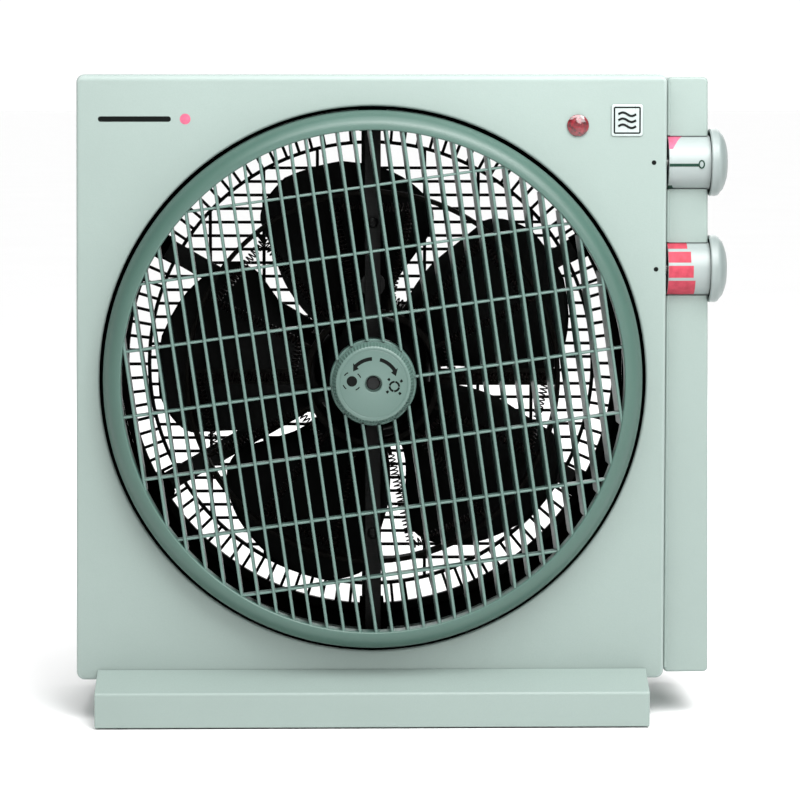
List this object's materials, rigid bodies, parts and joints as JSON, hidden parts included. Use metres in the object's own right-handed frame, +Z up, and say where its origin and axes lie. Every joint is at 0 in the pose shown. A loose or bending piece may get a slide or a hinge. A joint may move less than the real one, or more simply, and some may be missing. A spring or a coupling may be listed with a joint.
{
  "type": "box fan",
  "caption": "Box fan in a square plastic casing with a rotating louvre grille, a lock knob, a heating coil, side control knobs, a pilot lamp and a plinth.",
  "frame": {"origin": "middle of the footprint, on the surface that the feet stand on", "axes": "+Z up, +X to the right seen from the front, the louvre grille faces -Y"},
  "size_m": [0.4167, 0.185, 0.413],
  "materials": {
    "casing_plastic": "fine moulded grain, pale grey-green",
    "grille_plastic": "satin sage green",
    "black_plastic": "satin black",
    "steel": "zinc plated",
    "painted_steel": "black paint on pressed steel",
    "motor_iron": "stacked laminations",
    "winding_wire": "enamelled copper wire",
    "insulator": "matt mica and ceramic",
    "heating_wire": "oxidised resistance wire",
    "rubber": "matt black",
    "lamp_red": "clear red faceted lens",
    "badge": null,
    "phenolic": "dark moulding compound",
    "cutout_metal": "bare disc"
  },
  "bodies": {
    "root": {"front_shell": "casing_plastic", "rear_shell": "casing_plastic", "control_cover": "casing_plastic", "base_plinth": "casing_plastic", "rear_guard": "black_plastic", "grille_spindle": "steel", "spindle_nut": "steel", "control_bracket": "steel", "case_screw_1": "steel", "case_screw_2": "steel", "case_screw_3": "steel", "case_screw_4": "steel", "base_screw_1": "steel", "base_screw_2": "steel", "base_screw_3": "steel", "base_screw_4": "steel", "bridge_screw_1": "steel", "bridge_screw_2": "steel", "heater_screw_1": "steel", "heater_screw_2": "steel", "bracket_screw_1": "steel", "bracket_screw_2": "steel", "motor_screw_1": "steel", "motor_screw_2": "steel", "front_bridge": "painted_steel", "motor_bracket": "painted_steel", "motor_front_bell": "painted_steel", "motor_rear_bell": "painted_steel", "motor_stator": "motor_iron", "winding_front": "winding_wire", "winding_rear": "winding_wire", "heater_frame": "insulator", "heater_coil": "heating_wire", "rubber_foot_1": "rubber", "rubber_foot_2": "rubber", "rubber_foot_3": "rubber", "rubber_foot_4": "rubber", "cord_gland": "rubber", "pilot_lens": "lamp_red", "badge_plate": "badge", "pilot_lamp_holder": "phenolic", "mode_switch_body": "phenolic", "thermostat_switch_body": "phenolic", "terminal_block": "phenolic", "thermal_cutout": "cutout_metal"},
    "rotor": {"impeller": "black_plastic", "impeller_nut": "black_plastic", "motor_shaft": "steel", "motor_rotor": "motor_iron"},
    "grille": {"louvre_grille": "grille_plastic", "grille_bush": "black_plastic"},
    "lock_knob": {"lock_knob": "grille_plastic"},
    "mode_knob": {"mode_knob_drum": "casing_plastic", "mode_knob_grip": "casing_plastic", "mode_spindle": "steel"},
    "thermostat_knob": {"thermostat_knob_drum": "casing_plastic", "thermostat_knob_grip": "casing_plastic", "thermostat_spindle": "steel"}
  },
  "joints": [
    {"name": "fan_spin", "type": "hinge", "parent": "root", "child": "rotor", "pos_m": [-0.01835, -0.0065, 0.219], "axis": [0, 1, 0], "continuous": true},
    {"name": "grille_spin", "type": "hinge", "parent": "root", "child": "grille", "pos_m": [-0.01835, -0.0725, 0.219], "axis": [0, 1, 0], "continuous": true},
    {"name": "lock_knob_turn", "type": "hinge", "parent": "root", "child": "lock_knob", "pos_m": [-0.01835, -0.0825, 0.219], "axis": [0, 1, 0], "range_deg": [-45, 45]},
    {"name": "mode_knob_turn", "type": "hinge", "parent": "root", "child": "mode_knob", "pos_m": [0.19565, -0.0455, 0.357], "axis": [1, 0, 0], "range_deg": [0, 270]},
    {"name": "thermostat_knob_turn", "type": "hinge", "parent": "root", "child": "thermostat_knob", "pos_m": [0.19565, -0.0455, 0.289], "axis": [1, 0, 0], "range_deg": [-135, 135]}
  ]
}
